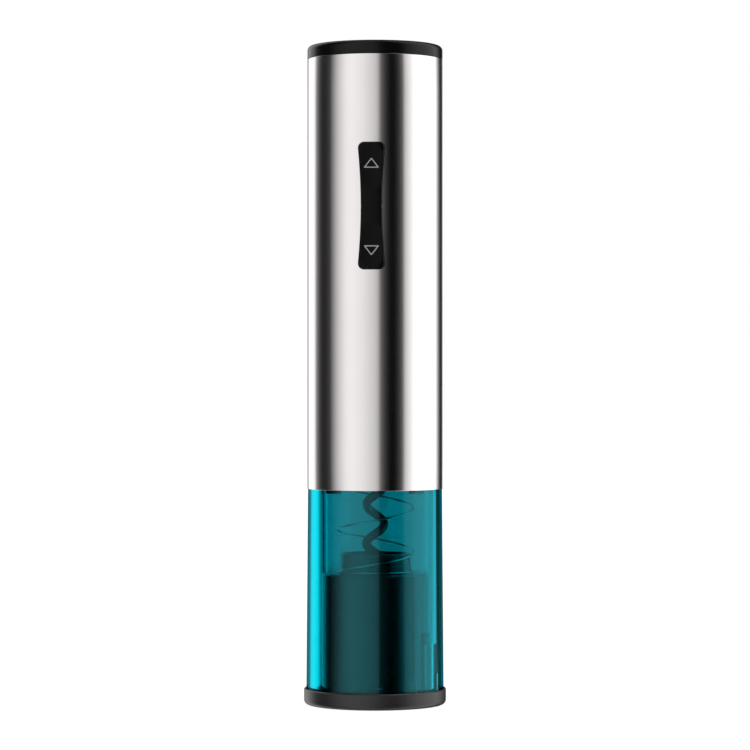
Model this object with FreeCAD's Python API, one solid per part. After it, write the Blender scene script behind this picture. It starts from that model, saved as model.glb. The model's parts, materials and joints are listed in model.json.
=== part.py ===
import FreeCAD, Part
import math
import os

from FreeCAD import Vector

# Electric wine opener, in millimetres. The base stands on z = 0, the tool's axis is Z,
# and the rocker button faces -Y.

# ---------------------------------------------------------------- outside
sleeve_radius = 24.65        # steel sleeve, outside
sleeve_wall = 0.5
sleeve_length = 156.5
clear_length = 72.6          # clear body seen between base ring and sleeve
ring_height = 5.9
ring_overhang = 1.25         # base ring beyond the sleeve
ring_floor = 2.5
ring_fillet = 1.8
cap_thickness = 4.9
cap_gap = 0.1                # seam between sleeve and cap
cap_fillet = 1.8
fit = 0.15                   # radial clearance of pieces that slide together
free_gap = 0.3               # clearance between pieces that must never touch

sleeve_bottom = ring_height + clear_length
sleeve_top = sleeve_bottom + sleeve_length
cap_bottom = sleeve_top + cap_gap
cap_top = cap_bottom + cap_thickness
ring_radius = sleeve_radius + ring_overhang
sleeve_bore = sleeve_radius - sleeve_wall

# ---------------------------------------------------------------- clear body and bottle guide
lower_clock = 3.0            # the lower group is turned this far from the button, degrees
body_step = 0.2              # clear body below the sleeve's surface
body_draft = 0.6             # the clear body widens by this much towards its base
body_wall = 3.1
neck_height = 13.5
guide_bore = 16.0            # takes the lip of a bottle
guide_wall = 3.4
guide_height = 45.2
shoulder_thickness = 2.5
collar_height = 7.0
collar_base_gap = 0.6        # the collar stands inside the spring, closer at its base
collar_tip_gap = 1.1
cork_hole_radius = 11.5
lead_in = 1.2
lift_gap = 0.05              # guide above the stops it rests on
slot_width = 0.7
slot_offset = 12.97
slot_length = 36.2
notch_width = 5.0
notch_height = 5.5
rail_angles = (158.0, 338.0)
rail_width = 2.0
rail_depth = 1.15
boss_radius = 2.6
boss_height = 20.0
lug_width = 5.0
lug_height = 4.0
base_screw_radius = 1.1
base_screw_length = 12.0

body_radius = sleeve_radius - body_step
body_bore = body_radius - body_wall
neck_radius = sleeve_bore - fit
neck_top = sleeve_bottom + neck_height
rail_radius = body_bore - rail_depth
boss_centre = body_bore + 1.15
boss_top = ring_floor + boss_height
ring_hole = guide_bore + 1.0
guide_radius = guide_bore + guide_wall
guide_bottom = ring_floor + free_gap
shoulder_top = guide_bottom + guide_height
shoulder_bottom = shoulder_top - shoulder_thickness
lug_reach = body_bore - 0.25

# ---------------------------------------------------------------- spring housing and spring
tab_angles = (45.0, 135.0, 225.0, 315.0)
tab_width = 4.9
tab_below_sleeve = 1.3       # how far the stop tabs show under the steel
tab_overlap = 0.5            # the tabs reach in over the guide's shoulder
housing_rim_above = 1.5
housing_height = 27.0
housing_plate = 3.0
housing_flange = 1.0
spring_mean_radius = 13.9
spring_wire = 0.7
spring_pitch = 16.0
spring_crest = 55.5          # a crest of the spring faces +X at this height
spring_end_wire = 0.85       # the closed end coils are a little fuller
spring_seat_ring = 3.0
neck_screw_angles = (90.0, 210.0, 330.0)
neck_screw_rise = 8.5
neck_screw_radius = 1.0
neck_screw_length = 6.0

housing_radius = body_bore - fit
housing_bore = spring_mean_radius + 3.1
housing_bottom = sleeve_bottom + housing_rim_above
housing_top = housing_bottom + housing_height
seat_z = housing_top - housing_plate
tab_bottom = sleeve_bottom - tab_below_sleeve
collar_base_radius = spring_mean_radius - collar_base_gap
collar_tip_radius = spring_mean_radius - collar_tip_gap

# ---------------------------------------------------------------- worm and output hub
worm_radius = 4.85
worm_wire = 3.2
worm_pitch = 14.1
worm_tip_rise = 1.9          # tip above the face that the bottle meets
worm_tip_radius = 0.25
worm_point_length = 3.2      # the tip is ground to a straight point
worm_crest = 65.6            # a crest of the worm faces +X at this height
worm_collar_radius = 5.1     # the wire's upper end is swaged into this collar
worm_collar_height = 4.4
shank_radius = 3.0
shank_length = 5.5
plate_hole_radius = 7.0
hub_radius = 6.0
hub_length = 12.0
hub_gap = 0.5
hub_pin_radius = 0.75
output_shaft_radius = 2.5

hub_bottom = housing_top + hub_gap
hub_top = hub_bottom + hub_length
shank_top = hub_bottom + shank_length
worm_tip = shoulder_bottom + worm_tip_rise
worm_helix_radius = worm_radius - worm_wire / 2
worm_collar_top = hub_bottom - 0.5
worm_end = worm_collar_top - worm_wire / 2 - 0.75

# ---------------------------------------------------------------- planetary gearbox
gear_module = 0.5
sun_teeth = 12
planet_teeth = 21
ring_teeth = sun_teeth + 2 * planet_teeth
pressure_angle = math.radians(20)
addendum = 0.85              # in modules
dedendum = 1.25              # in modules
tooth_slack = 0.1            # each tooth is thinner than its half pitch by this
gear_width = 4.5
gear_side_gap = 0.4
carrier_thickness = 2.5
carrier_gap = 0.5
planet_pin_radius = 1.0
pin_running_gap = 0.03
gearbox_wall = 2.875         # behind the ring gear's teeth
cover_thickness = 3.0
bush_wall = 1.5
bush_flange = 0.6
motor_plate_thickness = 2.5
gearbox_screw_radius = 0.8
gearbox_screw_inset = 1.4
planet_angles = (0.0, 120.0, 240.0)

planet_circle = gear_module * (sun_teeth + planet_teeth) / 2
gearbox_radius = gear_module * (ring_teeth / 2 + dedendum) + gearbox_wall
gearbox_screw_circle = gearbox_radius - gearbox_screw_inset
carrier_radius = gear_module * (ring_teeth / 2 - addendum) - free_gap
cover_bottom = hub_top + bush_flange + 0.4
cover_top = cover_bottom + cover_thickness
output_plate_bottom = cover_top + carrier_gap
output_plate_top = output_plate_bottom + carrier_thickness
output_gear_bottom = output_plate_top + gear_side_gap
output_gear_top = output_gear_bottom + gear_width
input_plate_bottom = output_gear_top + gear_side_gap
input_plate_top = input_plate_bottom + carrier_thickness
input_gear_bottom = input_plate_top + gear_side_gap
input_gear_top = input_gear_bottom + gear_width
gearbox_top = input_gear_top + 1.8
motor_bottom = gearbox_top + motor_plate_thickness

# ---------------------------------------------------------------- motor
motor_radius = 12.2
motor_length = 30.8
motor_wall = 1.0
motor_shaft_radius = 1.15
motor_boss_radius = 3.5
motor_screw_circle = 8.0
motor_screw_radius = 1.2
end_cap_plug = 2.5
end_cap_thickness = 2.3
magnet_thickness = 1.8
magnet_span = 130.0
air_gap = 0.5
core_length = 15.0
poles = 5
commutator_radius = 2.8
brush_holder_bore = 6.2
terminal_offset = 4.5
terminal_rise = 1.9
lead_radius = 0.55

motor_top = motor_bottom + motor_length
motor_bore = motor_radius - motor_wall
core_radius = motor_bore - magnet_thickness - air_gap
core_bottom = motor_bottom + 6.5
core_top = core_bottom + core_length

# ---------------------------------------------------------------- inner frame
frame_wall = 1.6
rib_thickness = 2.5
frame_screw_radius = 1.0
frame_screw_length = 16.0
frame_screw_seat = 10.0
frame_boss_radius = 2.4

frame_radius = sleeve_bore - 0.2
frame_bore = frame_radius - frame_wall
frame_top = sleeve_top - 0.5
frame_boss_x = frame_bore - 2.75

# ---------------------------------------------------------------- batteries and cap
cell_radius = 7.25
cell_length = 50.5
cell_nub_radius = 2.75
cell_nub_height = 1.3
cell_spacing = 0.7           # between the skins of neighbouring cells
pack_shift = 2.8             # the pack stands back from the button by this
cell_bore_gap = 0.25
holder_floor = 1.5
holder_wall = 0.6            # in front of the two cells nearest the button
contact_thickness = 0.4
cell_spring_height = 1.8
cell_spring_radius = 3.2
cell_spring_wire = 0.5
cap_plug_depth = 2.3
cap_skirt_depth = 7.1
cap_skirt_wall = 1.5
cap_lug_angles = (90.0, 210.0, 330.0)
cap_lug_span = 14.0
cap_lug_height = 2.0
cap_lug_reach = 1.0
cap_turn = 30.0
coin_slot = (20.0, 2.4, 1.4)

cap_plug_bottom = cap_bottom - cap_plug_depth
cap_skirt_bottom = cap_bottom - cap_skirt_depth
cap_skirt_radius = frame_bore - 0.25
cells_top = cap_plug_bottom - contact_thickness - 0.2
cells_bottom = cells_top - cell_length
holder_bottom = cells_bottom - cell_spring_height - contact_thickness - holder_floor
holder_top = cap_skirt_bottom - 0.5
holder_radius = frame_bore - 0.45
cell_offset = cell_radius + cell_spacing / 2
holder_front = cell_offset + cell_radius + cell_bore_gap + holder_wall - pack_shift
cell_places = [
    (sx * cell_offset, sy * cell_offset + pack_shift) for sx in (-1, 1) for sy in (-1, 1)
]

# ---------------------------------------------------------------- rocker button and switches
button_rise = 102.05         # centre of the button above the sleeve's lower end
button_height = 45.7
button_end_width = 10.7
button_waist_width = 8.2
button_corner = 2.5
button_gap = 0.2
button_proud = 0.7
button_depth = 4.35
button_edge = 0.45
dish_radius = 40.0
dish_depth = 0.85
dish_offset = 14.0
pivot_depth = 4.65           # rocker pin behind the sleeve's surface
rocker_pin_radius = 0.9
pin_gap = 0.04
bracket_half_width = 7.0
bracket_wall = 1.3
bracket_end_wall = 1.5
board_depth = 9.45           # front of the circuit board behind the sleeve's surface
board_thickness = 1.2
board_width = 11.0
board_length = 42.0
switch_size = 6.0
switch_height = 3.4
switch_offset = 14.0
plunger_radius = 1.6
plunger_gap = 0.05
board_screw_radius = 0.8

button_z = sleeve_bottom + button_rise
button_face = sleeve_radius + button_proud
button_back = -(button_face - button_depth)
pivot_y = -(sleeve_radius - pivot_depth)
board_front = -(sleeve_radius - board_depth)
board_back = board_front + board_thickness
bracket_front = -(sleeve_radius - 2.35)
bracket_half_height = button_height / 2 + 2.2
switch_front = board_front - switch_height
plunger_front = switch_front - 1.4


# ================================================================ helpers
def rod(radius, bottom, top, x=0.0, y=0.0):
    return Part.makeCylinder(radius, top - bottom, Vector(x, y, bottom))


def tube(outer, inner, bottom, top, x=0.0, y=0.0):
    return rod(outer, bottom, top, x, y).cut(rod(inner, bottom, top, x, y))


def block(x, y, z):
    """A box from a (low, high) pair on each axis."""
    return Part.makeBox(x[1] - x[0], y[1] - y[0], z[1] - z[0], Vector(x[0], y[0], z[0]))


def centred(width, depth, height, x=0.0, y=0.0, z=0.0):
    """A box about the point x, y, z."""
    return block(
        (x - width / 2, x + width / 2), (y - depth / 2, y + depth / 2), (z - height / 2, z + height / 2)
    )


def turned(points, span=360.0):
    """A solid of revolution about Z from an outline of (radius, height) points."""
    outline = Part.makePolygon([Vector(r, 0, z) for r, z in points + points[:1]])
    return Part.Face(outline).revolve(Vector(0, 0, 0), Vector(0, 0, 1), span)


def turn(shape, degrees, x=0.0, y=0.0):
    copy = shape.copy()
    copy.rotate(Vector(x, y, 0), Vector(0, 0, 1), degrees)
    return copy


def sector(inner, outer, bottom, top, middle, span):
    """Part of a ring, centred on the angle middle."""
    piece = turned([(inner, bottom), (outer, bottom), (outer, top), (inner, top)], span)
    return turn(piece, middle - span / 2)


def spread(shape, angles):
    return [turn(shape, angle) for angle in angles]


def joined(shapes):
    return shapes[0].fuse(shapes[1:]).removeSplitter()


def aimed(shape, at, direction):
    """A copy of a piece made along +Z, moved to a point and aimed in a direction."""
    copy = shape.copy()
    copy.Placement = FreeCAD.Placement(at, FreeCAD.Rotation(Vector(0, 0, 1), direction))
    return copy


def screw_blank(radius, length, head_radius):
    """Countersunk screw without its recess: head's top at z = 0, shank down."""
    head_height = head_radius - radius
    shank = rod(radius, -length, 0)
    head = Part.makeCone(radius, head_radius, head_height, Vector(0, 0, -head_height))
    return shank.fuse(head).removeSplitter()


def screw(radius, length, head_radius):
    recess_depth = 0.7 * head_radius
    recess = [
        centred(1.2 * head_radius, 0.3 * head_radius, recess_depth, z=-recess_depth / 2),
        centred(0.3 * head_radius, 1.2 * head_radius, recess_depth, z=-recess_depth / 2),
    ]
    return screw_blank(radius, length, head_radius).cut(recess)


def clocked(shape):
    return turn(shape, lower_clock)


def eight_sided(radius):
    """Corners of a wire's section drawn as an octagon, as (outward, upward) pairs."""
    angles = [math.radians(22.5 + 45 * k) for k in range(8)]
    return [(radius * math.cos(a), radius * math.sin(a)) for a in angles]


def coil(radius, pitch, bottom, top, crest, wire_radius, round_wire=True):
    """A right-handed coil of wire, which faces +X at the height crest."""
    spine = Part.makeHelix(pitch, top - bottom, radius)
    spine.translate(Vector(0, 0, bottom))
    start = Vector(radius, 0, bottom)
    along = Vector(0, radius, pitch / (2 * math.pi)).normalize()
    end = Part.Wire(Part.makeCircle(wire_radius, start, along))
    if not round_wire:
        over = Vector(1, 0, 0).cross(along)
        corners = [start + Vector(a, 0, 0) + over * b for a, b in eight_sided(wire_radius)]
        end = Part.makePolygon(corners + corners[:1])
    solid = Part.Wire(spine.Edges).makePipeShell([end], True, True)
    return turn(solid, 360 * (bottom - crest) / pitch)


def involute(angle):
    return math.tan(angle) - angle


def gear_face(teeth, outside, inside, slack):
    """Flat outline of a gear. outside and inside are the tip and root in modules."""
    pitch_radius = gear_module * teeth / 2
    base = pitch_radius * math.cos(pressure_angle)
    tip = pitch_radius + outside * gear_module
    root = pitch_radius - inside * gear_module
    low = max(base, root)
    radii = [low + (tip - low) * k / 4 for k in range(5)]
    half = (math.pi * gear_module / 2 - slack) / (2 * pitch_radius) + involute(pressure_angle)
    flank = [(r, half - involute(math.acos(min(1.0, base / r)))) for r in radii]
    if root < base:
        flank.insert(0, (root, half))
    points = []
    for tooth in range(teeth):
        middle = 2 * math.pi * tooth / teeth
        points += [(r, middle - a) for r, a in flank]
        points += [(r, middle + a) for r, a in reversed(flank)]
    corners = [Vector(r * math.cos(a), r * math.sin(a), 0) for r, a in points]
    return Part.Face(Part.makePolygon(corners + corners[:1]))


def gear(teeth, bottom, top, bore=0.0):
    solid = gear_face(teeth, addendum, dedendum, tooth_slack).extrude(Vector(0, 0, top - bottom))
    solid.translate(Vector(0, 0, bottom))
    if bore:
        solid = solid.cut(rod(bore, bottom, top))
    return solid


nodes = {}


# ================================================================ clear body, base ring, guide
base_screw_blank = aimed(
    screw_blank(base_screw_radius, base_screw_length, 2.0), Vector(boss_centre, 0, 0), Vector(0, 0, -1)
)
neck_screw_seat = neck_radius - 0.1
neck_screw_z = sleeve_bottom + neck_screw_rise


def neck_screws(maker):
    piece = aimed(
        maker(neck_screw_radius, neck_screw_length, 1.9), Vector(neck_screw_seat, 0, neck_screw_z), Vector(1, 0, 0)
    )
    return spread(piece, neck_screw_angles)


def make_base_ring():
    seat = body_radius + body_draft + fit
    ring = turned(
        [
            (ring_hole, 0),
            (ring_radius, 0),
            (ring_radius, ring_height - 0.3),
            (ring_radius - 0.3, ring_height),
            (seat, ring_height),
            (seat, ring_floor),
            (ring_hole + 0.6, ring_floor),
            (ring_hole, ring_floor - 0.6),
        ]
    )
    foot = [e for e in ring.Edges if e.BoundBox.ZMax < 0.01 and e.BoundBox.XMax > ring_radius - 0.01]
    ring = ring.makeFillet(ring_fillet, foot)
    ring = ring.cut(spread(base_screw_blank, rail_angles))
    nodes["base_ring"] = clocked(ring)
    screws = aimed(screw(base_screw_radius, base_screw_length, 2.0), Vector(boss_centre, 0, 0), Vector(0, 0, -1))
    nodes["base_ring_screws"] = clocked(Part.makeCompound(spread(screws, rail_angles)))


def make_clear_body():
    foot_radius = body_radius + body_draft
    skin = [(foot_radius, ring_floor), (body_radius, sleeve_bottom)]
    neck = [(neck_radius, sleeve_bottom), (neck_radius, neck_top)]
    body = turned([(body_bore, ring_floor)] + skin + neck + [(body_bore, neck_top)])
    envelope = turned([(0, ring_floor)] + skin + neck + [(0, neck_top)])
    rail = block((rail_radius, body_bore + 1), (-rail_width / 2, rail_width / 2), (ring_floor, housing_bottom - 0.5))
    boss = rod(boss_radius, ring_floor, boss_top, x=boss_centre)
    pair = rail.fuse(boss).common(envelope)
    body = joined([body] + spread(pair, rail_angles))
    body = body.cut(spread(base_screw_blank, rail_angles)).cut(neck_screws(screw_blank))
    nodes["clear_body"] = clocked(body)
    nodes["neck_screws"] = clocked(Part.makeCompound(neck_screws(screw)))


def make_guide_sleeve():
    collar_top = shoulder_top + collar_height
    guide = turned(
        [
            (guide_bore + lead_in, guide_bottom),
            (guide_radius, guide_bottom),
            (guide_radius, shoulder_top - 0.6),
            (guide_radius - 0.6, shoulder_top),
            (collar_base_radius, shoulder_top),
            (collar_tip_radius, collar_top),
            (cork_hole_radius, collar_top),
            (cork_hole_radius, shoulder_bottom),
            (guide_bore, shoulder_bottom),
            (guide_bore, guide_bottom + lead_in),
        ]
    )
    lug_bottom = boss_top + lift_gap
    lug = block(
        (guide_radius - 0.6, lug_reach), (-lug_width / 2, lug_width / 2), (lug_bottom, lug_bottom + lug_height)
    )
    groove = block(
        (rail_radius - free_gap, lug_reach + 1),
        (-rail_width / 2 - free_gap, rail_width / 2 + free_gap),
        (lug_bottom - 1, lug_bottom + lug_height + 1),
    )
    lug = lug.common(rod(lug_reach, lug_bottom, lug_bottom + lug_height)).cut(groove)
    guide = joined([guide] + spread(lug, rail_angles))
    slot_top = shoulder_bottom - 0.1
    for side in (-1, 1):
        middle = side * slot_offset
        slot = block(
            (middle - slot_width / 2, middle + slot_width / 2),
            (-guide_radius, guide_radius),
            (slot_top - slot_length, slot_top),
        )
        guide = guide.cut(slot)
    notch = block((-notch_width / 2, notch_width / 2), (-guide_radius - 1, 0), (0, guide_bottom + notch_height))
    nodes["guide_sleeve"] = clocked(guide.cut(notch))


def make_return_spring():
    wire = spring_end_wire / 2
    low = shoulder_top + wire
    high = seat_z - wire
    active = coil(spring_mean_radius, spring_pitch, low, high, spring_crest, spring_wire / 2, False)
    ends = [turned([(spring_mean_radius + r, z + h) for r, h in eight_sided(wire)]) for z in (low, high)]
    nodes["return_spring"] = clocked(active.fuse(ends))


def make_spring_housing():
    wall = tube(housing_radius, housing_bore, housing_bottom, seat_z)
    plate = tube(housing_radius + housing_flange, plate_hole_radius, seat_z, housing_top)
    seat_ring = tube(spring_mean_radius - 0.8, plate_hole_radius, seat_z - spring_seat_ring, seat_z)
    tab = block((guide_radius - tab_overlap, housing_radius + 1), (-tab_width / 2, tab_width / 2),
                (tab_bottom, housing_bottom))
    tab = tab.common(rod(housing_radius, tab_bottom, housing_bottom))
    housing = joined([wall, plate, seat_ring] + spread(tab, tab_angles))
    nodes["spring_housing"] = clocked(housing.cut(neck_screws(screw_blank)))


# ================================================================ worm, hub and gearbox
def hub_pins():
    length = 2 * hub_radius
    heights = ((hub_bottom + shank_top) / 2, (shank_top + hub_top) / 2)
    return [aimed(rod(hub_pin_radius, -length / 2, length / 2), Vector(0, 0, z), Vector(1, 0, 0)) for z in heights]


def make_worm():
    wire = worm_wire / 2
    spiral_start = worm_tip + 2.0
    spiral = coil(worm_helix_radius, worm_pitch, spiral_start, worm_end, worm_crest, wire)
    angle = 2 * math.pi * (spiral_start - worm_crest) / worm_pitch
    start = Vector(worm_helix_radius * math.cos(angle), worm_helix_radius * math.sin(angle), spiral_start)
    slope = worm_pitch / (2 * math.pi)
    backwards = Vector(worm_helix_radius * math.sin(angle), -worm_helix_radius * math.cos(angle), -slope)
    point = aimed(Part.makeCone(wire, worm_tip_radius, worm_point_length), start, backwards)
    collar = rod(worm_collar_radius, worm_collar_top - worm_collar_height, worm_collar_top)
    shank = collar.fuse(rod(shank_radius, worm_collar_top, shank_top)).removeSplitter()
    worm = spiral.fuse([point, shank])
    nodes["worm"] = clocked(worm).cut(hub_pins()[0])


def make_hub():
    hub = rod(hub_radius, hub_bottom, hub_top)
    hub = hub.cut([rod(shank_radius, hub_bottom, shank_top), rod(output_shaft_radius, shank_top, hub_top)])
    nodes["worm_hub"] = hub.cut(hub_pins())
    nodes["hub_pins"] = Part.makeCompound([p.common(rod(hub_radius, hub_bottom, hub_top)) for p in hub_pins()])


def gearbox_screws(maker):
    length = gearbox_top + motor_plate_thickness - cover_bottom - 0.5
    piece = aimed(
        maker(gearbox_screw_radius, length, 1.3), Vector(gearbox_screw_circle, 0, cover_bottom), Vector(0, 0, -1)
    )
    return spread(piece, tab_angles)


def motor_screws(maker):
    piece = aimed(
        maker(motor_screw_radius, motor_plate_thickness + motor_wall + 0.5, 2.2),
        Vector(motor_screw_circle, 0, gearbox_top),
        Vector(0, 0, -1),
    )
    return spread(piece, (0.0, 180.0))


def make_gearbox():
    bush_radius = output_shaft_radius + bush_wall
    bush = tube(bush_radius, output_shaft_radius + pin_running_gap, cover_bottom, cover_top)
    flange = tube(bush_radius + 1, output_shaft_radius + pin_running_gap, cover_bottom - bush_flange, cover_bottom)
    nodes["output_bush"] = joined([bush, flange])
    cover = tube(gearbox_radius, bush_radius, cover_bottom, cover_top)
    nodes["gearbox_cover"] = cover.cut(gearbox_screws(screw_blank))
    teeth = gear_face(ring_teeth, dedendum, addendum, -tooth_slack).extrude(Vector(0, 0, gearbox_top - cover_top))
    teeth.translate(Vector(0, 0, cover_top))
    teeth = turn(teeth, 0.0)
    housing = rod(gearbox_radius, cover_top, gearbox_top).cut(teeth)
    nodes["gearbox_housing"] = housing.cut(gearbox_screws(screw_blank))
    plate = tube(gearbox_radius, motor_boss_radius + fit, gearbox_top, motor_bottom)
    nodes["motor_plate"] = plate.cut(gearbox_screws(screw_blank)).cut(motor_screws(screw_blank))
    nodes["gearbox_screws"] = Part.makeCompound(gearbox_screws(screw))
    nodes["motor_screws"] = Part.makeCompound(motor_screws(screw))


def make_carriers():
    plates = {
        "output": (output_plate_bottom, output_plate_top, output_gear_bottom, output_gear_top),
        "input": (input_plate_bottom, input_plate_top, input_gear_bottom, input_gear_top),
    }
    drives = {
        "output": rod(output_shaft_radius, shank_top, output_plate_bottom),
        "input": gear(sun_teeth, output_gear_bottom, input_plate_bottom),
    }
    for stage, (low, high, gear_low, gear_high) in plates.items():
        pins = [turn(rod(planet_pin_radius, low, gear_high + 0.2, x=planet_circle), a) for a in planet_angles]
        carrier = joined([rod(carrier_radius, low, high), drives[stage]]).cut(pins)
        if stage == "output":
            carrier = carrier.cut(hub_pins()[1])
        nodes[stage + "_carrier"] = carrier
        nodes[stage + "_planet_pins"] = Part.makeCompound(pins)
        for letter, angle in zip("abc", planet_angles):
            planet = gear(planet_teeth, gear_low, gear_high, planet_pin_radius + pin_running_gap)
            planet.translate(Vector(planet_circle, 0, 0))
            nodes[stage + "_planet_" + letter] = turn(planet, angle)
    nodes["motor_pinion"] = gear(sun_teeth, input_gear_bottom, gearbox_top - 0.8, motor_shaft_radius)


# ================================================================ motor
def make_motor():
    can_top = motor_top - end_cap_thickness
    plug_bottom = can_top - end_cap_plug
    bush_radius = motor_shaft_radius + 1.4
    can = turned(
        [
            (bush_radius, gearbox_top + 0.3),
            (motor_boss_radius, gearbox_top + 0.3),
            (motor_boss_radius, motor_bottom),
            (motor_radius, motor_bottom),
            (motor_radius, can_top),
            (motor_bore, can_top),
            (motor_bore, motor_bottom + motor_wall),
            (bush_radius, motor_bottom + motor_wall),
        ]
    )
    nodes["motor_can"] = can.cut(motor_screws(screw_blank))
    cap = rod(motor_radius, can_top, motor_top)
    plug = tube(motor_bore - 0.05, brush_holder_bore, plug_bottom, can_top)
    terminals = [centred(0.5, 2.4, terminal_rise + 1.0, s * terminal_offset, 0, motor_top + terminal_rise / 2 - 0.5)
                 for s in (-1, 1)]
    cap = joined([cap, plug]).cut(terminals).cut(rod(bush_radius, can_top, motor_top))
    nodes["motor_end_cap"] = cap
    nodes["motor_terminals"] = Part.makeCompound(terminals)
    magnet_bottom = core_bottom - 2
    magnets = [
        sector(motor_bore - magnet_thickness, motor_bore, magnet_bottom, core_top + 2, middle, magnet_span)
        for middle in (0.0, 180.0)
    ]
    nodes["motor_magnets"] = Part.makeCompound(magnets)
    bore = motor_shaft_radius + pin_running_gap
    nodes["motor_bushes"] = Part.makeCompound(
        [tube(bush_radius, bore, gearbox_top + 0.3, motor_bottom + motor_wall), tube(bush_radius, bore, can_top, motor_top)]
    )
    nodes["motor_shaft"] = rod(motor_shaft_radius, input_gear_bottom, motor_top - 0.5)
    core = tube(core_radius, motor_shaft_radius, core_bottom, core_top)
    slots = []
    windings = []
    for k in range(poles):
        angle = 360.0 / poles * k
        mouth = block((3.5, core_radius + 1), (-0.5, 0.5), (core_bottom, core_top))
        pocket = rod(1.9, core_bottom, core_top, x=core_radius - 3.2)
        slots.append(turn(mouth.fuse(pocket), angle))
        windings.append(sector(2.4, core_radius - 1.4, core_top, core_top + 2.2, angle + 36, 56))
        windings.append(sector(2.4, core_radius - 1.4, core_bottom - 2.2, core_bottom, angle + 36, 56))
    nodes["armature_core"] = core.cut(slots)
    nodes["armature_windings"] = Part.makeCompound(windings)
    nodes["commutator"] = tube(commutator_radius, motor_shaft_radius, core_top + 2.6, can_top - 0.4)
    brush_z = plug_bottom + end_cap_plug / 2
    brush_length = brush_holder_bore - commutator_radius - 0.3
    brush_middle = commutator_radius + 0.1 + brush_length / 2
    nodes["motor_brushes"] = Part.makeCompound(
        [centred(brush_length, 2.0, 1.8, s * brush_middle, 0, brush_z) for s in (-1, 1)]
    )
    lead_z = motor_top + terminal_rise / 2
    for name, side in (("motor_lead_red", -1), ("motor_lead_black", 1)):
        run = rod(lead_radius, 0, -1.2 - board_back)
        nodes[name] = aimed(run, Vector(side * terminal_offset, -1.2, lead_z), Vector(0, -1, 0))


# ================================================================ inner frame
def frame_screws(maker):
    pieces = []
    for side in (-1, 1):
        for z in (hub_bottom + 6.0, motor_bottom + 14.0):
            seat = Vector(side * frame_boss_x, frame_screw_seat, z)
            pieces.append(aimed(maker(frame_screw_radius, frame_screw_length, 1.9), seat, Vector(0, 1, 0)))
    return pieces


def make_frame():
    ribs = (
        (seat_z - rib_thickness, seat_z, housing_radius + fit),
        (housing_top, housing_top + 2.0, 15.0),
        (cover_bottom - rib_thickness, cover_bottom, 12.0),
        (output_gear_top, output_gear_top + rib_thickness, gearbox_radius + fit),
        (motor_bottom, motor_bottom + rib_thickness, motor_radius + fit),
        (motor_top, motor_top + 1.7, 10.0),
        (holder_bottom - 2.0, holder_bottom, 10.0),
    )
    frame = [tube(frame_radius, frame_bore, neck_top, frame_top)]
    frame += [tube(frame_bore + 0.5, inner, low, high) for low, high, inner in ribs]
    outside = rod(frame_radius, neck_top, frame_top)
    openings = [
        block(
            (-bracket_half_width - 0.1, bracket_half_width + 0.1),
            (-frame_radius - 1, board_back + 0.6),
            (button_z - bracket_half_height - 0.1, button_z + bracket_half_height + 0.1),
        ),
        block((-bracket_half_width, bracket_half_width), (-frame_radius - 1, -8.5), (motor_top, motor_top + 3.7)),
    ]
    for blank in frame_screws(screw_blank):
        middle = blank.BoundBox.Center
        boss = aimed(rod(frame_boss_radius, -13, 13), Vector(middle.x, 0, middle.z), Vector(0, 1, 0))
        access = aimed(rod(2.0, 0, 10), Vector(middle.x, frame_screw_seat, middle.z), Vector(0, 1, 0))
        frame.append(boss.common(outside))
        openings += [blank, access]
    lug_low = cap_skirt_bottom + 0.5
    for angle in cap_lug_angles:
        reach = cap_skirt_radius + cap_lug_reach + 0.3
        run_span = cap_lug_span + cap_turn + 4
        low, high = lug_low - 0.4, lug_low + cap_lug_height + 0.4
        openings.append(sector(frame_bore - 0.2, reach, low, high, angle + cap_turn / 2, run_span))
        openings.append(sector(frame_bore - 0.2, reach, low, frame_top, angle + cap_turn, cap_lug_span + 4))
    whole = joined(frame).cut(openings)
    wide = frame_radius + 5
    for name, side in (("frame_front", -1), ("frame_rear", 1)):
        y = (min(0, side * wide), max(0, side * wide))
        half = whole.common(block((-wide, wide), y, (neck_top - 1, frame_top + 1)))
        nodes[name] = half
    nodes["frame_screws"] = Part.makeCompound(frame_screws(screw))


# ================================================================ batteries and cap
def make_batteries():
    holder = rod(holder_radius, holder_bottom, holder_top)
    wide = holder_radius + 1
    holder = holder.common(block((-wide, wide), (-holder_front, wide), (holder_bottom, holder_top)))
    bore = cell_radius + cell_bore_gap
    floor = holder_bottom + holder_floor
    bores = [rod(bore, floor, holder_top, x, y) for x, y in cell_places]
    nodes["battery_holder"] = holder.cut(bores)
    springs = []
    plates = []
    spring_low = floor + contact_thickness
    wire = cell_spring_wire / 2
    for number, (x, y) in enumerate(cell_places):
        body = rod(cell_radius, cells_bottom, cells_top - cell_nub_height, x, y)
        nub = rod(cell_nub_radius, cells_top - cell_nub_height, cells_top, x, y)
        cell = joined([body, nub])
        if number in (1, 2):
            cell.rotate(Vector(x, y, (cells_bottom + cells_top) / 2), Vector(1, 0, 0), 180)
        nodes[f"battery_{number + 1}"] = cell
        turns = [
            Part.makeTorus(cell_spring_radius - k * 0.45, wire, Vector(x, y, spring_low + wire + k * 0.6))
            for k in range(3)
        ]
        strap = centred(0.5, 0.5, cell_spring_height - 0.3, x + cell_spring_radius - 0.45, y,
                        spring_low + cell_spring_height / 2 - 0.1)
        springs.append(joined(turns + [strap]))
        plates.append(centred(8.4, 8.4, contact_thickness, x, y, floor + contact_thickness / 2))
    nodes["battery_springs"] = Part.makeCompound(springs)
    nodes["battery_contacts"] = Part.makeCompound(plates)


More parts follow.
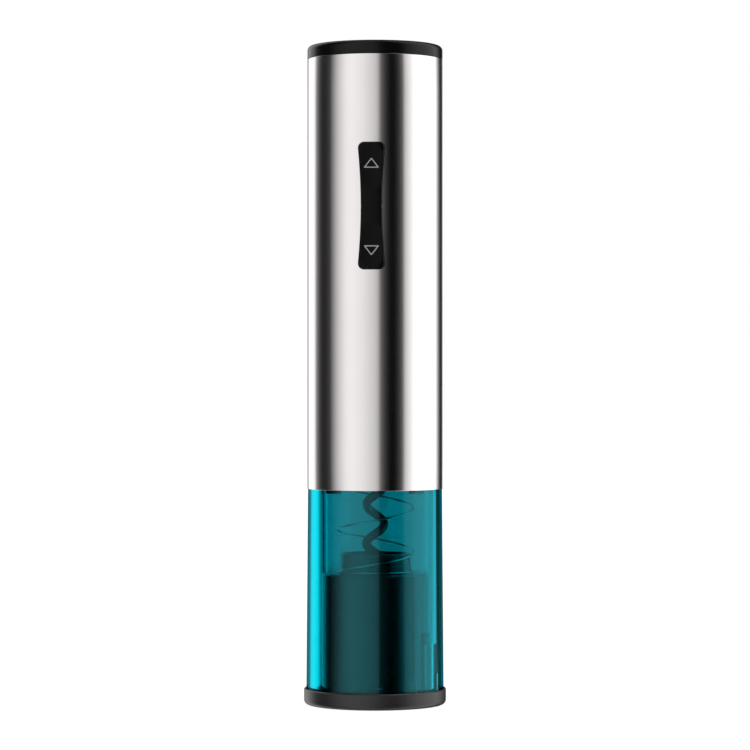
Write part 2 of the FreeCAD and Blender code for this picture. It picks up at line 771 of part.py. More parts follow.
def make_cap():
    cap = rod(sleeve_radius, cap_bottom, cap_top)
    rim = [e for e in cap.Edges if e.BoundBox.ZMin > cap_top - 0.01]
    cap = cap.makeFillet(cap_fillet, rim)
    plug = rod(cap_skirt_radius, cap_plug_bottom, cap_bottom)
    skirt = tube(cap_skirt_radius, cap_skirt_radius - cap_skirt_wall, cap_skirt_bottom, cap_bottom)
    lug_low = cap_skirt_bottom + 0.5
    lugs = [
        sector(cap_skirt_radius - 0.5, cap_skirt_radius + cap_lug_reach, lug_low, lug_low + cap_lug_height, a, cap_lug_span)
        for a in cap_lug_angles
    ]
    slot = centred(coin_slot[0], coin_slot[1], coin_slot[2], z=cap_top - coin_slot[2] / 2)
    nodes["battery_cap"] = joined([cap, plug, skirt] + lugs).cut(slot)
    low = cap_plug_bottom - contact_thickness
    nodes["cap_contacts"] = Part.makeCompound(
        [centred(9.0, 2 * cell_offset + 9.0, contact_thickness, s * cell_offset, pack_shift, low + contact_thickness / 2)
         for s in (-1, 1)]
    )


# ================================================================ sleeve, rocker and switches
def waisted_prism(inset, front, back):
    """The rocker's outline, narrower at its waist, shrunk by inset and drawn along Y."""
    half = button_height / 2 - inset
    end = button_end_width / 2 - inset
    waist = button_waist_width / 2 - inset
    corners = [Vector(s * end, front, button_z + t * half) for s, t in ((-1, 1), (1, 1), (1, -1), (-1, -1))]
    sides = [Vector(s * waist, front, button_z) for s in (1, -1)]
    outline = Part.Wire(
        [
            Part.LineSegment(corners[0], corners[1]).toShape(),
            Part.Arc(corners[1], sides[0], corners[2]).toShape(),
            Part.LineSegment(corners[2], corners[3]).toShape(),
            Part.Arc(corners[3], sides[1], corners[0]).toShape(),
        ]
    )
    prism = Part.Face(outline).extrude(Vector(0, back - front, 0))
    upright = [e for e in prism.Edges if e.BoundBox.XLength < 0.01 and e.BoundBox.ZLength < 0.01]
    return prism.makeFillet(button_corner - inset, upright)


def make_sleeve():
    sleeve = tube(sleeve_radius, sleeve_bore, sleeve_bottom, sleeve_top)
    nodes["steel_sleeve"] = sleeve.cut(waisted_prism(0.0, -sleeve_radius - 5, -10.0))


def make_rocker():
    face = rod(button_face, button_z - button_height, button_z + button_height)
    key = waisted_prism(button_gap, -button_face - 1, button_back).common(face)
    rim = []
    for edge in key.Edges:
        box = edge.BoundBox
        if box.YMax < button_back - 0.5:
            rim.append(edge)
    key = key.makeChamfer(button_edge, rim)
    for side in (-1, 1):
        centre = Vector(0, -(button_face + dish_radius - dish_depth), button_z + side * dish_offset)
        key = key.cut(Part.makeSphere(dish_radius, centre))
    knuckle = block((-4.8 + 1.4, 4.8 - 1.4), (button_back - 0.2, pivot_y + 1.7), (button_z - 1.8, button_z + 1.8))
    posts = []
    for side in (-1, 1):
        post = rod(1.5, 0, plunger_front - plunger_gap - button_back + 0.2)
        at = Vector(0, button_back - 0.2, button_z + side * switch_offset)
        posts.append(aimed(post, at, Vector(0, 1, 0)))
    pin_hole = aimed(rod(rocker_pin_radius + pin_gap, -8, 8), Vector(0, pivot_y, button_z), Vector(1, 0, 0))
    nodes["rocker_button"] = joined([key, knuckle] + posts).cut(pin_hole)
    half = bracket_half_width - 0.2
    nodes["rocker_pin"] = aimed(rod(rocker_pin_radius, -half, half), Vector(0, pivot_y, button_z), Vector(1, 0, 0))


def board_screws(maker):
    pieces = []
    for side in (-1, 1):
        at = Vector(0, board_back, button_z + side * (board_length / 2 - 1.7))
        pieces.append(aimed(maker(board_screw_radius, 4.5, 1.5), at, Vector(0, 1, 0)))
    return pieces


def make_switches():
    inner = bracket_half_width - bracket_wall
    top = bracket_half_height
    ring = centred(2 * bracket_half_width, board_back + 0.4 - bracket_front, 2 * top,
                   y=(bracket_front + board_back + 0.4) / 2, z=button_z)
    hollow = centred(2 * inner, 30, 2 * top - 2 * bracket_end_wall, y=board_front, z=button_z)
    seats = []
    for side in (-1, 1):
        middle = button_z + side * (board_length / 2 - 0.5)
        seats.append(block((-inner - 0.1, inner + 0.1), (board_front - 4.3, board_front),
                           (middle - 2.6, middle + 2.6)))
    bracket = joined([ring.cut(hollow)] + seats)
    pin = nodes["rocker_pin"]
    bracket = bracket.cut(board_screws(screw_blank)).cut(pin)
    nodes["switch_bracket"] = bracket
    board = block((-board_width / 2, board_width / 2), (board_front, board_back),
                  (button_z - board_length / 2, button_z + board_length / 2))
    nodes["switch_board"] = board.cut(board_screws(screw_blank))
    nodes["board_screws"] = Part.makeCompound(board_screws(screw))
    bodies = []
    for name, side in (("tact_plunger_upper", 1), ("tact_plunger_lower", -1)):
        z = button_z + side * switch_offset
        body = centred(switch_size, switch_height, switch_size, y=board_front - switch_height / 2, z=z)
        well = aimed(rod(plunger_radius + 0.1, 0, 1.9), Vector(0, switch_front, z), Vector(0, 1, 0))
        bodies.append(body.cut(well))
        plunger = rod(plunger_radius, 0, switch_front + 1.0 - plunger_front)
        nodes[name] = aimed(plunger, Vector(0, plunger_front, z), Vector(0, 1, 0))
    nodes["tact_switches"] = Part.makeCompound(bodies)


for make in (
    make_base_ring,
    make_clear_body,
    make_guide_sleeve,
    make_return_spring,
    make_spring_housing,
    make_worm,
    make_hub,
    make_gearbox,
    make_carriers,
    make_motor,
    make_frame,
    make_batteries,
    make_cap,
    make_sleeve,
    make_rocker,
    make_switches,
):
    make()

os.makedirs("parts", exist_ok=True)
for name, shape in nodes.items():
    solids = len(shape.Solids)
    print(f"{name}: {solids} solid(s), {shape.Volume:.1f} mm3, valid {shape.isValid()}")
    shape.exportStep(os.path.join("parts", name + ".step"))
print(len(nodes), "nodes")
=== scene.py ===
import json
import math

import bmesh
import bpy
from mathutils import Matrix, Vector

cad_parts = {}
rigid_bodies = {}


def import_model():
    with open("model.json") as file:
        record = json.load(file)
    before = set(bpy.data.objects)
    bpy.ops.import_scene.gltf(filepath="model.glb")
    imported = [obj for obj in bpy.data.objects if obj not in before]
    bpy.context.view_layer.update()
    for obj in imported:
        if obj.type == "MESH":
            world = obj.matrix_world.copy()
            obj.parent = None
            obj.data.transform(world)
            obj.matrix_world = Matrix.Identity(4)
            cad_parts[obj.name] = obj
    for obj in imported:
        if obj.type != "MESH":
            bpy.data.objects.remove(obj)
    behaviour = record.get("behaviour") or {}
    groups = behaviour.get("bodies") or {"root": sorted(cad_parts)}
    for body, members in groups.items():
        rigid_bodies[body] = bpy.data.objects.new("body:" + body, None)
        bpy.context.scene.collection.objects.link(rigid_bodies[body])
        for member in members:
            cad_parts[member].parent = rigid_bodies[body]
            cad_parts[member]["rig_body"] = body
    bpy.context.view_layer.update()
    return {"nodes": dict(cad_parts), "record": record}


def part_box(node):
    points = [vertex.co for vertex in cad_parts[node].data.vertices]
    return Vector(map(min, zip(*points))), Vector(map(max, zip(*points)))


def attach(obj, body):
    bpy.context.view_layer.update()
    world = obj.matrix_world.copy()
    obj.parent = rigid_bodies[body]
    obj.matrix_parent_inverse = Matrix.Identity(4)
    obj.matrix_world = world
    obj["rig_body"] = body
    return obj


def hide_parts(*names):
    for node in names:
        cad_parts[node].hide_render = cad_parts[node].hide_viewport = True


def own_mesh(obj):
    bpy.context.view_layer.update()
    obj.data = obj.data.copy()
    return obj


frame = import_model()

# Electric wine opener. Metres, Z up the tool's axis, the rocker button faces -Y.
MM = 0.001
LOWER_CLOCK = math.radians(3.0)  # the clear body's group is turned this far from the button
NODES = frame["nodes"]


# ---------------------------------------------------------------- shader helpers
def new_material(name):
    """A material with a Principled shader, as (material, nodes, links, shader)."""
    material = bpy.data.materials.new(name)
    material.use_nodes = True
    tree = material.node_tree
    return material, tree.nodes, tree.links, tree.nodes["Principled BSDF"]


def new_group(name, inputs, outputs):
    """A shader node group with named float inputs (name, default) and outputs (name, type)."""
    tree = bpy.data.node_groups.new(name, "ShaderNodeTree")
    for label, value in inputs:
        socket = tree.interface.new_socket(label, in_out="INPUT", socket_type="NodeSocketFloat")
        socket.default_value = value
    for label, kind in outputs:
        tree.interface.new_socket(label, in_out="OUTPUT", socket_type=kind)
    return tree, tree.nodes.new("NodeGroupInput"), tree.nodes.new("NodeGroupOutput")


def stretched_noise(tree, stretch, scale, detail=3.0):
    """Noise in object space, drawn out by a different amount along each axis."""
    place = tree.nodes.new("ShaderNodeTexCoord")
    mapping = tree.nodes.new("ShaderNodeMapping")
    mapping.inputs["Scale"].default_value = stretch
    noise = tree.nodes.new("ShaderNodeTexNoise")
    noise.inputs["Scale"].default_value = scale
    noise.inputs["Detail"].default_value = detail
    tree.links.new(place.outputs["Object"], mapping.inputs["Vector"])
    tree.links.new(mapping.outputs["Vector"], noise.inputs["Vector"])
    return noise


def map_range(tree, value, low, high):
    """A 0 to 1 value spread between low and high, which are sockets or numbers."""
    node = tree.nodes.new("ShaderNodeMapRange")
    tree.links.new(value, node.inputs["Value"])
    for label, bound in (("To Min", low), ("To Max", high)):
        if isinstance(bound, bpy.types.NodeSocket):
            tree.links.new(bound, node.inputs[label])
        else:
            node.inputs[label].default_value = bound
    return node.outputs["Result"]


def handling_group():
    """Faint uneven sheen left by moulding flow and by hands."""
    tree, given, out = new_group(
        "Handling Sheen",
        [("Low", 0.1), ("High", 0.2)],
        [("Roughness", "NodeSocketFloat")],
    )
    noise = stretched_noise(tree, (1.0, 1.0, 0.45), 45.0, 4.0)
    value = map_range(tree, noise.outputs["Fac"], given.outputs["Low"], given.outputs["High"])
    tree.links.new(value, out.inputs["Roughness"])
    return tree


def grain_group():
    """Fine etched texture of moulded plastic, as a height and a tint mask."""
    tree, given, out = new_group(
        "Moulded Grain",
        [("Scale", 3000.0)],
        [("Height", "NodeSocketFloat"), ("Mask", "NodeSocketFloat")],
    )
    place = tree.nodes.new("ShaderNodeTexCoord")
    cells = tree.nodes.new("ShaderNodeTexVoronoi")
    cells.feature = "SMOOTH_F1"
    soft = tree.nodes.new("ShaderNodeTexNoise")
    soft.inputs["Detail"].default_value = 4.0
    tree.links.new(place.outputs["Object"], cells.inputs["Vector"])
    tree.links.new(place.outputs["Object"], soft.inputs["Vector"])
    tree.links.new(given.outputs["Scale"], cells.inputs["Scale"])
    tree.links.new(given.outputs["Scale"], soft.inputs["Scale"])
    tree.links.new(cells.outputs["Distance"], out.inputs["Height"])
    tree.links.new(soft.outputs["Fac"], out.inputs["Mask"])
    return tree


def wear_group():
    """Mask of the sharp outer edges, where a finish rubs bright."""
    tree, given, out = new_group(
        "Rubbed Edges",
        [("Start", 0.52), ("End", 0.62)],
        [("Mask", "NodeSocketFloat")],
    )
    shape = tree.nodes.new("ShaderNodeNewGeometry")
    spread = tree.nodes.new("ShaderNodeMapRange")
    tree.links.new(shape.outputs["Pointiness"], spread.inputs["Value"])
    tree.links.new(given.outputs["Start"], spread.inputs["From Min"])
    tree.links.new(given.outputs["End"], spread.inputs["From Max"])
    tree.links.new(spread.outputs["Result"], out.inputs["Mask"])
    return tree


def drawn_group():
    """Fine lines left by brushing or drawing metal, along rings about the tool's axis."""
    tree, given, out = new_group(
        "Ring Brushing",
        [("Low", 0.2), ("High", 0.3)],
        [("Height", "NodeSocketFloat"), ("Roughness", "NodeSocketFloat"), ("Mask", "NodeSocketFloat")],
    )
    lines = stretched_noise(tree, (0.02, 0.02, 1.0), 9000.0, 2.0)
    cloud = stretched_noise(tree, (1.0, 1.0, 1.0), 60.0, 4.0)
    value = map_range(tree, lines.outputs["Fac"], given.outputs["Low"], given.outputs["High"])
    tree.links.new(lines.outputs["Fac"], out.inputs["Height"])
    tree.links.new(value, out.inputs["Roughness"])
    tree.links.new(cloud.outputs["Fac"], out.inputs["Mask"])
    return tree


HANDLING = handling_group()
GRAIN = grain_group()
WEAR = wear_group()
BRUSHING = drawn_group()


def place_group(nodes, tree, **values):
    """A use of a shader group, with its inputs set."""
    node = nodes.new("ShaderNodeGroup")
    node.node_tree = tree
    for label, value in values.items():
        node.inputs[label].default_value = value
    return node


def two_tone(nodes, links, shader, mask, dark, light):
    """Base colour between two tones, by a mask."""
    mix = nodes.new("ShaderNodeMix")
    mix.data_type = "RGBA"
    mix.inputs["A"].default_value = (*dark, 1.0)
    mix.inputs["B"].default_value = (*light, 1.0)
    links.new(mask, mix.inputs["Factor"])
    links.new(mix.outputs["Result"], shader.inputs["Base Color"])


def relief(nodes, links, shader, height, strength, distance):
    """Fine relief in the shading, from a height."""
    bump = nodes.new("ShaderNodeBump")
    bump.inputs["Strength"].default_value = strength
    bump.inputs["Distance"].default_value = distance
    links.new(height, bump.inputs["Height"])
    links.new(bump.outputs["Normal"], shader.inputs["Normal"])


# ---------------------------------------------------------------- materials
def brushed_metal(name, dark, light, low, high, anisotropy, relief_strength=0.05):
    """Metal brushed or drawn in rings about the axis."""
    material, nodes, links, shader = new_material(name)
    shader.inputs["Metallic"].default_value = 1.0
    shader.inputs["Anisotropic"].default_value = anisotropy
    lines = place_group(nodes, BRUSHING, Low=low, High=high)
    two_tone(nodes, links, shader, lines.outputs["Mask"], dark, light)
    links.new(lines.outputs["Roughness"], shader.inputs["Roughness"])
    relief(nodes, links, shader, lines.outputs["Height"], relief_strength, 0.00002)
    if anisotropy:
        tangent = nodes.new("ShaderNodeTangent")
        tangent.direction_type = "RADIAL"
        tangent.axis = "Z"
        links.new(tangent.outputs["Tangent"], shader.inputs["Tangent"])
    return material


def bright_metal(name, dark, light, low, high):
    """Plated or polished metal with faint handling marks and rubbed edges."""
    material, nodes, links, shader = new_material(name)
    shader.inputs["Metallic"].default_value = 1.0
    sheen = place_group(nodes, HANDLING, Low=low, High=high)
    wear = place_group(nodes, WEAR)
    two_tone(nodes, links, shader, wear.outputs["Mask"], dark, light)
    links.new(sheen.outputs["Roughness"], shader.inputs["Roughness"])
    return material


def moulded_plastic(name, dark, light, low, high, grain_scale, grain_strength, specular=0.5):
    """Moulded plastic with its etched grain, uneven sheen and rubbed edges."""
    material, nodes, links, shader = new_material(name)
    shader.inputs["IOR"].default_value = 1.5
    shader.inputs["Specular IOR Level"].default_value = specular
    sheen = place_group(nodes, HANDLING, Low=low, High=high)
    grain = place_group(nodes, GRAIN, Scale=grain_scale)
    wear = place_group(nodes, WEAR)
    two_tone(nodes, links, shader, wear.outputs["Mask"], dark, light)
    links.new(sheen.outputs["Roughness"], shader.inputs["Roughness"])
    relief(nodes, links, shader, grain.outputs["Height"], grain_strength, 0.00003)
    return material


def teal_shell():
    """Clear teal moulding: tinted at each wall, with faint flow lines in its polish."""
    material, nodes, links, shader = new_material("clear_teal")
    output = nodes["Material Output"]
    nodes.remove(shader)
    flow = stretched_noise(material.node_tree, (1.0, 1.0, 0.25), 70.0, 2.0)
    tint = nodes.new("ShaderNodeMix")
    tint.data_type = "RGBA"
    tint.inputs["A"].default_value = (0.0, 0.84, 0.89, 1.0)
    tint.inputs["B"].default_value = (0.0, 0.86, 0.915, 1.0)
    links.new(flow.outputs["Fac"], tint.inputs["Factor"])
    sheen = place_group(nodes, HANDLING, Low=0.0, High=0.003)
    bump = nodes.new("ShaderNodeBump")
    bump.inputs["Strength"].default_value = 0.001
    bump.inputs["Distance"].default_value = 0.0002
    links.new(flow.outputs["Fac"], bump.inputs["Height"])
    bend = nodes.new("ShaderNodeBsdfRefraction")
    shine = nodes.new("ShaderNodeBsdfGlossy")
    inner = nodes.new("ShaderNodeBsdfGlass")
    bend.inputs["IOR"].default_value = 1.5
    inner.inputs["IOR"].default_value = 1.5
    shine.inputs["Color"].default_value = (0.35, 0.95, 1.0, 1.0)
    for part in (bend, shine, inner):
        links.new(sheen.outputs["Roughness"], part.inputs["Roughness"])
        links.new(bump.outputs["Normal"], part.inputs["Normal"])
    for part in (bend, inner):
        links.new(tint.outputs["Result"], part.inputs["Color"])
    outer = nodes.new("ShaderNodeMixShader")
    outer.inputs["Fac"].default_value = 0.045
    links.new(bend.outputs["BSDF"], outer.inputs[1])
    links.new(shine.outputs["BSDF"], outer.inputs[2])
    side = nodes.new("ShaderNodeNewGeometry")
    whole = nodes.new("ShaderNodeMixShader")
    links.new(side.outputs["Backfacing"], whole.inputs["Fac"])
    links.new(outer.outputs["Shader"], whole.inputs[1])
    links.new(inner.outputs["BSDF"], whole.inputs[2])
    links.new(whole.outputs["Shader"], output.inputs["Surface"])
    return material


def printed_white():
    """Pale ink of the printed triangles."""
    material, nodes, links, shader = new_material("icon_print")
    grain = place_group(nodes, GRAIN, Scale=5000.0)
    two_tone(nodes, links, shader, grain.outputs["Mask"], (0.24, 0.24, 0.24), (0.34, 0.34, 0.34))
    shader.inputs["Roughness"].default_value = 0.5
    return material


MATERIALS = {
    "steel_sleeve": brushed_metal(
        "brushed_sleeve", (0.83, 0.792, 0.79), (0.87, 0.83, 0.828), 0.13, 0.16, 0.3, 0.01
    ),
    "smoky_teal": teal_shell(),
    "gloss_black": moulded_plastic(
        "gloss_black", (0.004, 0.004, 0.004), (0.02, 0.02, 0.02), 0.08, 0.14, 900.0, 0.02
    ),
    "satin_black": moulded_plastic(
        "satin_black", (0.012, 0.012, 0.012), (0.03, 0.03, 0.03), 0.32, 0.42, 2600.0, 0.25
    ),
    "inner_plastic": moulded_plastic(
        "inner_plastic", (0.03, 0.03, 0.033), (0.07, 0.07, 0.07), 0.45, 0.6, 2200.0, 0.3
    ),
    "white_plastic": moulded_plastic(
        "acetal", (0.72, 0.72, 0.69), (0.85, 0.85, 0.83), 0.3, 0.42, 2500.0, 0.1
    ),
    "spring_steel": bright_metal("spring_wire", (0.30, 0.30, 0.31), (0.5, 0.5, 0.5), 0.16, 0.26),
    "worm_steel": bright_metal("worm_coating", (0.02, 0.02, 0.022), (0.09, 0.09, 0.09), 0.2, 0.32),
    "zinc_steel": bright_metal("zinc_plate", (0.52, 0.52, 0.54), (0.7, 0.7, 0.7), 0.22, 0.36),
    "motor_steel": brushed_metal("drawn_steel", (0.42, 0.42, 0.43), (0.5, 0.5, 0.51), 0.25, 0.4, 0.0),
    "bronze": bright_metal("sintered_bronze", (0.42, 0.25, 0.10), (0.6, 0.4, 0.2), 0.4, 0.55),
    "copper": bright_metal("enamelled_copper", (0.5, 0.17, 0.07), (0.65, 0.28, 0.14), 0.2, 0.35),
    "magnet": moulded_plastic("ferrite", (0.03, 0.03, 0.03), (0.06, 0.06, 0.06), 0.5, 0.7, 1800.0, 0.3),
    "nickel": bright_metal("nickel_plate", (0.58, 0.55, 0.48), (0.75, 0.73, 0.68), 0.15, 0.3),
    "board_green": moulded_plastic(
        "solder_mask", (0.01, 0.10, 0.04), (0.02, 0.16, 0.07), 0.25, 0.35, 1500.0, 0.1
    ),
    "cell_wrap": moulded_plastic(
        "cell_film", (0.03, 0.05, 0.08), (0.08, 0.1, 0.13), 0.15, 0.25, 900.0, 0.05
    ),
    "lead_red": moulded_plastic(
        "red_insulation", (0.35, 0.01, 0.01), (0.5, 0.03, 0.03), 0.4, 0.5, 2500.0, 0.1
    ),
    "lead_black": moulded_plastic(
        "black_insulation", (0.01, 0.01, 0.01), (0.03, 0.03, 0.03), 0.4, 0.5, 2500.0, 0.1
    ),
}
ICON_PRINT = printed_white()
# Pieces whose finish differs a little from the rest of their slot.
OWN_FINISH = {
    "rocker_button": moulded_plastic(
        "rocker_gloss", (0.002, 0.002, 0.002), (0.01, 0.01, 0.01), 0.07, 0.12, 900.0, 0.02, 0.1
    ),
    "battery_cap": moulded_plastic(
        "cap_gloss", (0.003, 0.003, 0.003), (0.01, 0.01, 0.01), 0.16, 0.24, 1200.0, 0.04, 0.2
    ),
    "guide_sleeve": moulded_plastic(
        "guide_gloss", (0.004, 0.005, 0.005), (0.02, 0.02, 0.02), 0.1, 0.16, 1200.0, 0.03, 0.35
    ),
}


def finish_of(entry):
    """The finish of a CAD node: its own, or that of its material slot."""
    return OWN_FINISH.get(entry["node"], MATERIALS[entry["material_slot"]])


def finish_cad_nodes():
    """Gives every CAD node that is shown the finish of its material slot."""
    for entry in frame["record"]["subparts"]:
        node = NODES[entry["node"]]
        for holder in node.material_slots:
            holder.material = finish_of(entry)


# ---------------------------------------------------------------- mesh helpers
def mesh_object(name, points, faces, sharp_degrees=30.0):
    """A piece from points and faces, with its normals outwards and doubled points merged."""
    mesh = bpy.data.meshes.new(name)
    mesh.from_pydata([tuple(p) for p in points], [], faces)
    mesh.update()
    work = bmesh.new()
    work.from_mesh(mesh)
    bmesh.ops.remove_doubles(work, verts=work.verts, dist=1e-7)
    bmesh.ops.recalc_face_normals(work, faces=work.faces)
    work.to_mesh(mesh)
    work.free()
    piece = bpy.data.objects.new(name, mesh)
    bpy.context.scene.collection.objects.link(piece)
    smooth(piece, sharp_degrees)
    return piece


def smooth(piece, sharp_degrees=30.0):
    """Smooth shading that stays sharp at edges steeper than an angle."""
    piece.data.shade_smooth()
    piece.data.set_sharp_from_angle(angle=math.radians(sharp_degrees))


def lathe(name, outline, segments=240):
    """A closed ring from an outline of (radius, z) points in metres."""
    points = []
    faces = []
    count = len(outline)
    for s in range(segments):
        angle = 2 * math.pi * s / segments
        points += [(r * math.cos(angle), r * math.sin(angle), z) for r, z in outline]
    for s in range(segments):
        here, there = s * count, (s + 1) % segments * count
        for k in range(count):
            n = (k + 1) % count
            if outline[k][0] < 1e-9 and outline[n][0] < 1e-9:
                continue
            faces.append((here + k, there + k, there + n, here + n))
    return mesh_object(name, points, faces)


def arc(centre_r, centre_z, radius, start, end, steps=8):
    """Points of a rounded corner in a lathe outline, between two angles in degrees."""
    angles = [math.radians(start + (end - start) * k / steps) for k in range(steps + 1)]
    return [(centre_r + radius * math.cos(a), centre_z + radius * math.sin(a)) for a in angles]


def box_mesh(name, low, high):
    """A block between two opposite corners."""
    corners = [(x, y, z) for x in (low[0], high[0]) for y in (low[1], high[1]) for z in (low[2], high[2])]
    faces = [(0, 1, 3, 2), (4, 6, 7, 5), (0, 4, 5, 1), (2, 3, 7, 6), (0, 2, 6, 4), (1, 5, 7, 3)]
    return mesh_object(name, corners, faces)


def sweep(name, path, radii, sides=16):
    """A round wire along a path of points, with a radius at each."""
    points = []
    faces = []
    up = Vector((0, 0, 1))
    for k, here in enumerate(path):
        ahead = path[min(k + 1, len(path) - 1)]
        behind = path[max(k - 1, 0)]
        along = (ahead - behind).normalized()
        across = along.cross(up).normalized()
        over = across.cross(along)
        for s in range(sides):
            angle = 2 * math.pi * s / sides
            points.append(here + radii[k] * (math.cos(angle) * across + math.sin(angle) * over))
    for k in range(len(path) - 1):
        for s in range(sides):
            n = (s + 1) % sides
            faces.append((k * sides + s, k * sides + n, (k + 1) * sides + n, (k + 1) * sides + s))
    faces.append(tuple(range(sides - 1, -1, -1)))
    faces.append(tuple(range((len(path) - 1) * sides, len(path) * sides)))
    return mesh_object(name, points, faces, 60.0)


def combine(piece, other, operation):
    """Joins or cuts a piece with another solid, which is used up."""
    change = piece.modifiers.new("change", "BOOLEAN")
    change.operation = operation
    change.solver = "EXACT"
    change.object = other
    view = bpy.context.evaluated_depsgraph_get()
    result = bpy.data.meshes.new_from_object(piece.evaluated_get(view))
    piece.modifiers.clear()
    piece.data = result
    bpy.data.objects.remove(other)
    smooth(piece)


def turn(piece, angle):
    """Turns a piece about the tool's axis."""
    piece.data.transform(Matrix.Rotation(angle, 4, "Z"))


def stand_for(piece, node):
    """The piece takes the place, the body and the finish of a CAD node."""
    entry = next(e for e in frame["record"]["subparts"] if e["node"] == node)
    piece.data.materials.clear()
    piece.data.materials.append(finish_of(entry))
    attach(piece, NODES[node]["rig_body"])
    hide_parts(node)


# ---------------------------------------------------------------- rocker button
ROCKER_LOW, ROCKER_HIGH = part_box("rocker_button")
ROCKER_HALF = (ROCKER_HIGH.z - ROCKER_LOW.z) / 2
ROCKER_Z = (ROCKER_HIGH.z + ROCKER_LOW.z) / 2
ROCKER_FACE = -ROCKER_LOW.y
ROCKER_END = (ROCKER_HIGH.x - ROCKER_LOW.x) / 2
ROCKER_WAIST = ROCKER_END - 1.25 * MM
ROCKER_CORNER = 2.3 * MM
ROCKER_EDGE = 0.5 * MM
ROCKER_BACK = -ROCKER_FACE + 4.35 * MM
DISH_DEPTH = 0.85 * MM
DISH_OFFSET = 14.0 * MM
DISH_RADIUS = 40.0 * MM
KNUCKLE_HALF_WIDTH = 3.4 * MM
KNUCKLE_HALF_HEIGHT = 1.8 * MM
KNUCKLE_BITE = 0.3 * MM
KNUCKLE_PAST_PIN = 0.8 * MM


def rocker_half_width(z, gap=0.0):
    """Half the width of the button, with a gap around it, at a height above its centre."""
    sag = ROCKER_END - ROCKER_WAIST
    bow = (ROCKER_HALF**2 + sag**2) / (2 * sag)
    width = ROCKER_WAIST + bow - math.sqrt(bow**2 - min(abs(z), ROCKER_HALF) ** 2) + gap
    corner = ROCKER_CORNER + gap
    into_corner = abs(z) - (ROCKER_HALF - ROCKER_CORNER)
    if into_corner > 0:
        width -= corner - math.sqrt(max(0.0, corner**2 - into_corner**2))
    return width


def rocker_surface(x, z):
    """The button's front surface: proud of the sleeve, dished near each end."""
    face = math.sqrt(ROCKER_FACE**2 - x**2)
    for side in (-1, 1):
        centre = ROCKER_FACE + DISH_RADIUS - DISH_DEPTH
        reach = DISH_RADIUS**2 - x**2 - (z - side * DISH_OFFSET) ** 2
        if reach > 0:
            face = min(face, centre - math.sqrt(reach))
    return -face


def rocker_edge_drop(x, z):
    """How far the rounded rim falls below the front surface."""
    inside_z = ROCKER_HALF - abs(z)
    inside_x = rocker_half_width(z) - abs(x)
    inside = max(0.0, min(inside_x, inside_z))
    if inside >= ROCKER_EDGE:
        return 0.0
    return ROCKER_EDGE - math.sqrt(ROCKER_EDGE**2 - (ROCKER_EDGE - inside) ** 2)


def make_rocker():
    """The long button: a waisted key with two dishes, and the knuckle that holds its pin."""
    rows, columns = 120, 28
    points = []
    faces = []
    for r in range(rows + 1):
        z = -ROCKER_HALF * math.cos(math.pi * r / rows)
        width = rocker_half_width(z)
        for c in range(columns + 1):
            x = -width * math.cos(math.pi * c / columns)
            y = rocker_surface(x, z) + rocker_edge_drop(x, z)
            points.append((x, y, z + ROCKER_Z))
    wide = columns + 1
    for r in range(rows):
        for c in range(columns):
            k = r * wide + c
            faces.append((k, k + 1, k + wide + 1, k + wide))
    rim = list(range(wide))
    rim += [r * wide + columns for r in range(1, rows + 1)]
    rim += [rows * wide + c for c in range(columns - 1, -1, -1)]
    rim += [r * wide for r in range(rows - 1, 0, -1)]
    first = len(points)
    points += [(points[k][0], ROCKER_BACK, points[k][2]) for k in rim]
    count = len(rim)
    for k in range(count):
        n = (k + 1) % count
        faces.append((rim[k], first + k, first + n, rim[n]))
    faces.append(tuple(range(first, first + count)))
    button = mesh_object("rocker_cap", points, faces, 40.0)
    pin_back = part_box("rocker_pin")[1].y
    knuckle = box_mesh(
        "knuckle",
        (-KNUCKLE_HALF_WIDTH, ROCKER_BACK - KNUCKLE_BITE, ROCKER_Z - KNUCKLE_HALF_HEIGHT),
        (KNUCKLE_HALF_WIDTH, pin_back + KNUCKLE_PAST_PIN, ROCKER_Z + KNUCKLE_HALF_HEIGHT),
    )
    combine(button, knuckle, "UNION")
    stand_for(button, "rocker_button")


ICON_WIDTH = 5.8 * MM
ICON_STROKE = 0.42 * MM
ICON_ROUNDING = 0.12  # share of a side that its rounded corner takes
ICON_LIFT = 0.03 * MM
ICON_DEPTH = 0.12 * MM


def rounded_triangle(corners):
    """Points round a triangle, with a curve at each corner."""
    side_steps, turn_steps = 24, 6
    loop = []
    for k in range(3):
        a, b, c = (Vector(corners[(k + j) % 3]) for j in range(3))
        start = a.lerp(b, ICON_ROUNDING)
        end = a.lerp(b, 1 - ICON_ROUNDING)
        turn_end = b.lerp(c, ICON_ROUNDING)
        loop += [start.lerp(end, j / side_steps) for j in range(side_steps)]
        for j in range(turn_steps):
            t = j / turn_steps
            loop.append((1 - t) ** 2 * end + 2 * t * (1 - t) * b + t**2 * turn_end)
    return loop


